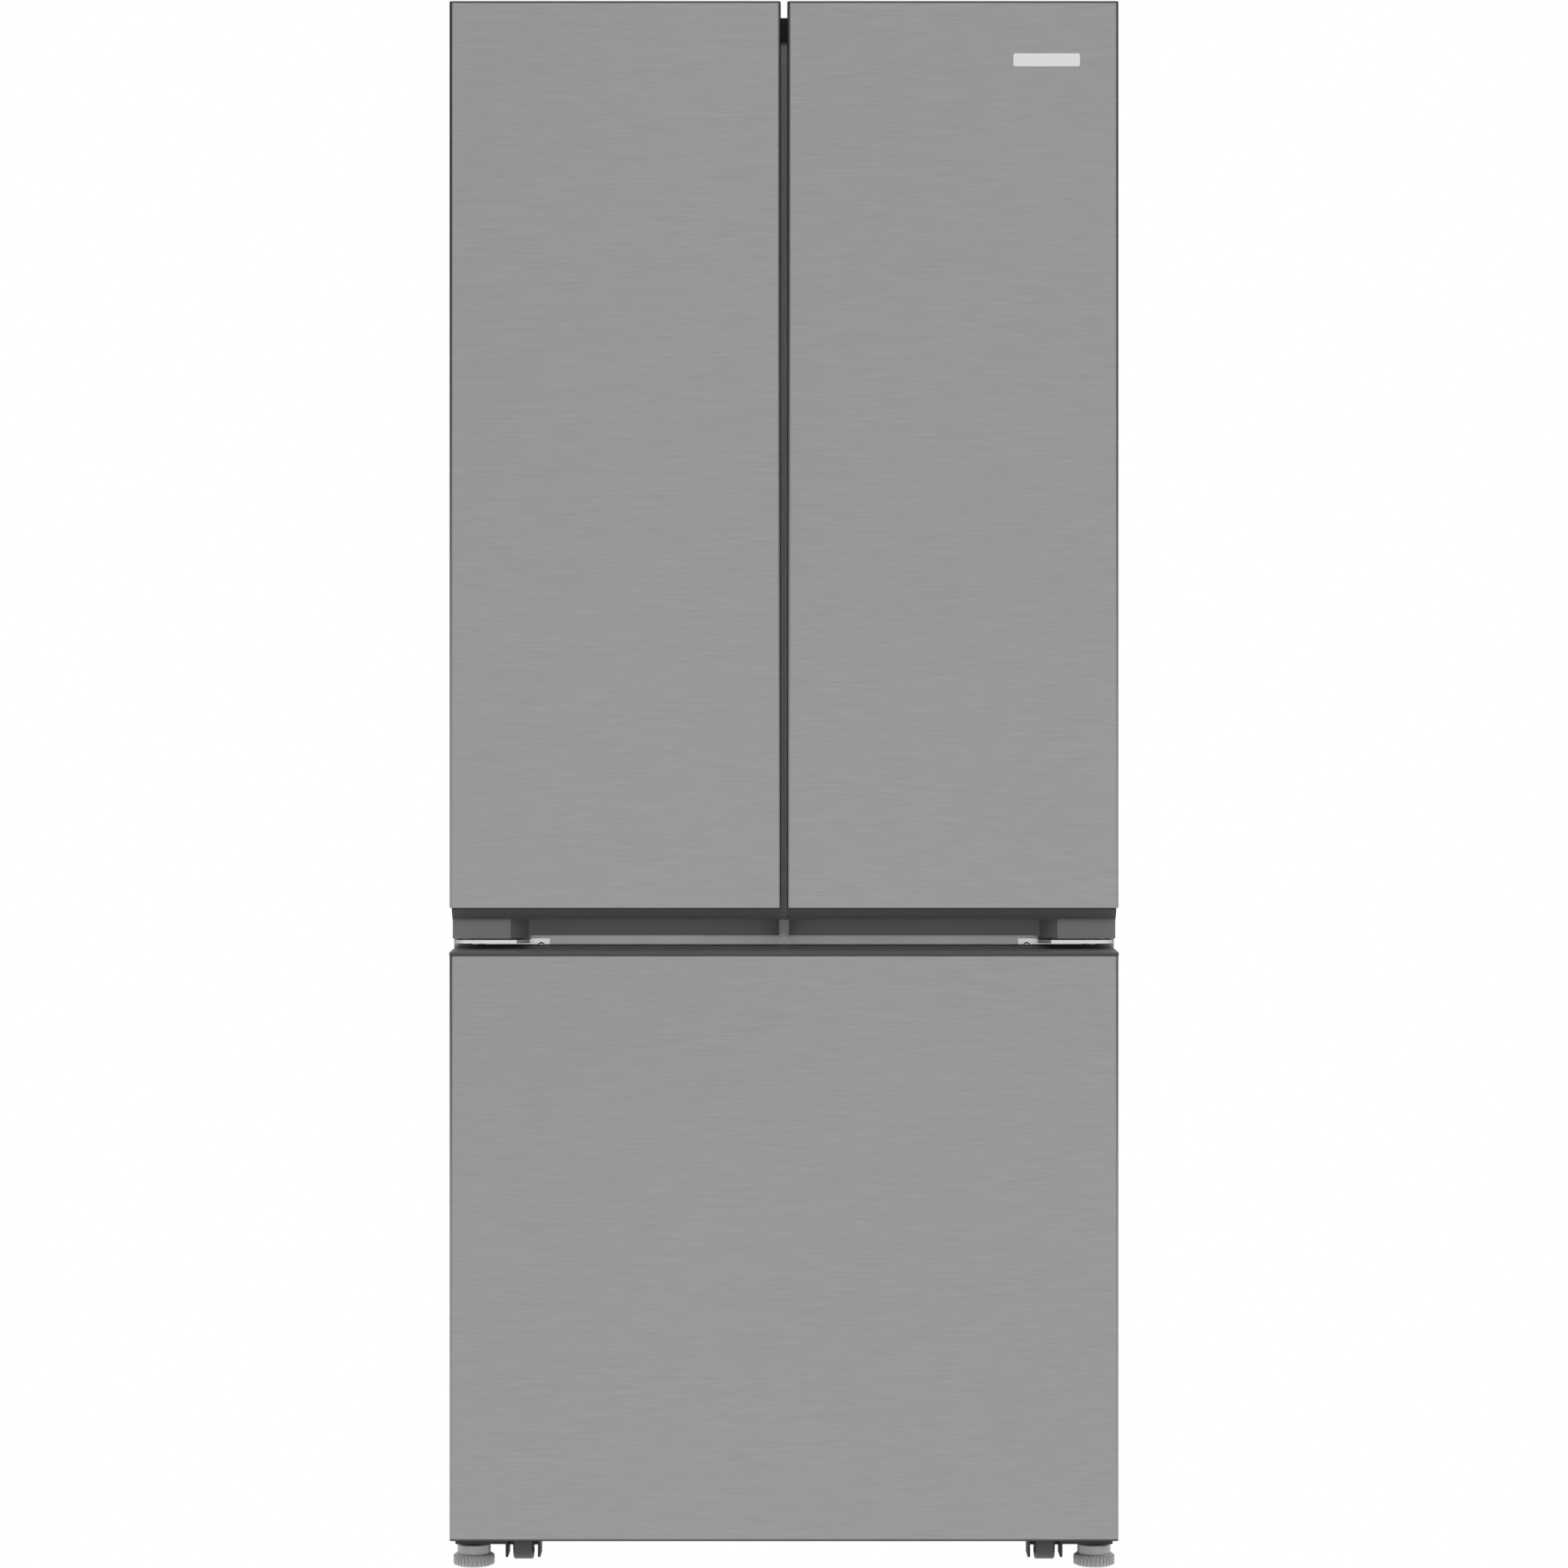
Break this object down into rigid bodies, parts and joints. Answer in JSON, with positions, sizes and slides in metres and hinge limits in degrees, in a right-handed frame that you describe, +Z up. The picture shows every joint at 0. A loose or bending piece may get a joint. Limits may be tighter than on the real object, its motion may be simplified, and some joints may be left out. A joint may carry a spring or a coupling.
{
  "type": "french door refrigerator",
  "caption": "Free-standing refrigerator with two hinged upper doors, a folding centre mullion and a bottom freezer drawer on telescopic rails.",
  "frame": {"origin": "on the floor, below the centre of the bounding box", "axes": "+Z up, -Y out of the doors, +X to the right of someone facing the doors"},
  "size_m": [0.756, 0.717, 1.783],
  "materials": {
    "stainless": "satin",
    "case_paint": "satin",
    "rail_paint": "satin",
    "galvanised": "matte",
    "zinc_hinge": "satin",
    "dark_plastic": "matte",
    "black_plastic": "matte",
    "white_plastic": "satin",
    "clear_plastic": "gloss",
    "shelf_glass": "gloss",
    "gasket_rubber": "matte",
    "foam": "matte",
    "chrome_trim": "polished",
    "coil_metal": "satin",
    "black_steel": "gloss",
    "frost_lens": "satin",
    "foot_grey": "satin",
    "roller_plastic": "satin"
  },
  "bodies": {
    "cabinet": {"air_duct": "white_plastic", "back_panel": "galvanised", "base_tray": "galvanised", "compressor": "black_steel", "condenser": "black_steel", "control_panel": "white_plastic", "crisper_cover": "white_plastic", "drain_pan": "dark_plastic", "evaporator": "coil_metal", "evaporator_cover": "white_plastic", "fan_motors": "galvanised", "fixed_rails": "galvanised", "foam_insulation": "foam", "freezer_liner": "white_plastic", "fridge_liner": "white_plastic", "glass_shelves": "shelf_glass", "hinge_screws": "zinc_hinge", "hinge_spacers": "black_plastic", "lamp_lens": "frost_lens", "mid_hinge_plates": "zinc_hinge", "mid_rail": "rail_paint", "mullion_guide": "black_plastic", "outer_case": "case_paint", "power_inlet": "black_plastic", "rear_cover": "galvanised", "roller_brackets": "galvanised", "shelf_frames": "white_plastic", "top_hinge_covers": "dark_plastic", "top_hinge_plates": "zinc_hinge"},
    "left_door": {"left_door_bins": "clear_plastic", "left_door_caps": "dark_plastic", "left_door_foam": "foam", "left_door_gasket": "gasket_rubber", "left_door_liner": "white_plastic", "left_door_skin": "stainless"},
    "right_door": {"right_door_bins": "clear_plastic", "right_door_caps": "dark_plastic", "right_door_foam": "foam", "right_door_gasket": "gasket_rubber", "right_door_liner": "white_plastic", "right_door_skin": "stainless", "name_plaque": "chrome_trim"},
    "mullion": {"mullion_bar": "dark_plastic"},
    "freezer_drawer": {"drawer_caps": "dark_plastic", "drawer_foam": "foam", "drawer_gasket": "gasket_rubber", "drawer_liner": "white_plastic", "drawer_side_frames": "galvanised", "drawer_skin": "stainless", "freezer_basket": "white_plastic"},
    "middle_rails": {"middle_rails": "galvanised"},
    "upper_bin": {"upper_bin": "white_plastic"},
    "crisper_left": {"crisper_left": "clear_plastic"},
    "crisper_right": {"crisper_right": "clear_plastic"},
    "evaporator_fan": {"evaporator_fan": "black_plastic"},
    "condenser_fan": {"condenser_fan": "black_plastic"},
    "front_rollers": {"front_rollers": "roller_plastic"},
    "rear_rollers": {"rear_rollers": "roller_plastic"},
    "foot_left": {"foot_left": "foot_grey"},
    "foot_right": {"foot_right": "foot_grey"}
  },
  "joints": [
    {"name": "left_door_hinge", "type": "hinge", "parent": "cabinet", "child": "left_door", "pos_m": [-0.361, -0.3255, 1.2], "axis": [0, 0, -1], "range_deg": [0, 120], "deforming": ["mullion_bar"]},
    {"name": "right_door_hinge", "type": "hinge", "parent": "cabinet", "child": "right_door", "pos_m": [0.361, -0.3255, 1.2], "axis": [0, 0, 1], "range_deg": [0, 120]},
    {"name": "mullion_fold", "type": "hinge", "parent": "left_door", "child": "mullion", "pos_m": [-0.028, -0.2715, 1.24], "axis": [0, 0, 1], "range_deg": [0, 90]},
    {"name": "freezer_drawer_slide", "type": "slide", "parent": "cabinet", "child": "freezer_drawer", "axis": [0, -1, 0], "range_m": [0, 0.4]},
    {"name": "middle_rail_slide", "type": "slide", "parent": "cabinet", "child": "middle_rails", "axis": [0, -1, 0], "range_m": [0, 0.2]},
    {"name": "upper_bin_slide", "type": "slide", "parent": "cabinet", "child": "upper_bin", "axis": [0, -1, 0], "range_m": [0, 0.24]},
    {"name": "crisper_left_slide", "type": "slide", "parent": "cabinet", "child": "crisper_left", "axis": [0, -1, 0], "range_m": [0, 0.17]},
    {"name": "crisper_right_slide", "type": "slide", "parent": "cabinet", "child": "crisper_right", "axis": [0, -1, 0], "range_m": [0, 0.17]},
    {"name": "evaporator_fan_spin", "type": "hinge", "parent": "cabinet", "child": "evaporator_fan", "pos_m": [0, 0.229, 0.61], "axis": [0, 1, 0], "continuous": true},
    {"name": "condenser_fan_spin", "type": "hinge", "parent": "cabinet", "child": "condenser_fan", "pos_m": [-0.04, 0.255, 0.115], "axis": [1, 0, 0], "continuous": true},
    {"name": "front_roller_spin", "type": "hinge", "parent": "cabinet", "child": "front_rollers", "pos_m": [0.299, -0.2605, 0.0213], "axis": [1, 0, 0], "continuous": true},
    {"name": "rear_roller_spin", "type": "hinge", "parent": "cabinet", "child": "rear_rollers", "pos_m": [0.299, 0.2925, 0.02], "axis": [1, 0, 0], "continuous": true},
    {"name": "foot_left_turn", "type": "hinge", "parent": "cabinet", "child": "foot_left", "pos_m": [-0.354, -0.2955, 0.029], "axis": [0, 0, 1], "continuous": true},
    {"name": "foot_right_turn", "type": "hinge", "parent": "cabinet", "child": "foot_right", "pos_m": [0.354, -0.2955, 0.029], "axis": [0, 0, 1], "continuous": true}
  ],
  "couplings": [
    {"joint": "mullion_fold", "follows": "left_door_hinge", "ratio": 0.75},
    {"joint": "crisper_left_slide", "follows": "left_door_hinge", "m_per_rad": 0.08},
    {"joint": "crisper_right_slide", "follows": "right_door_hinge", "m_per_rad": 0.08},
    {"joint": "middle_rail_slide", "follows": "freezer_drawer_slide", "ratio": 0.5},
    {"joint": "upper_bin_slide", "follows": "freezer_drawer_slide", "ratio": 0.6}
  ]
}
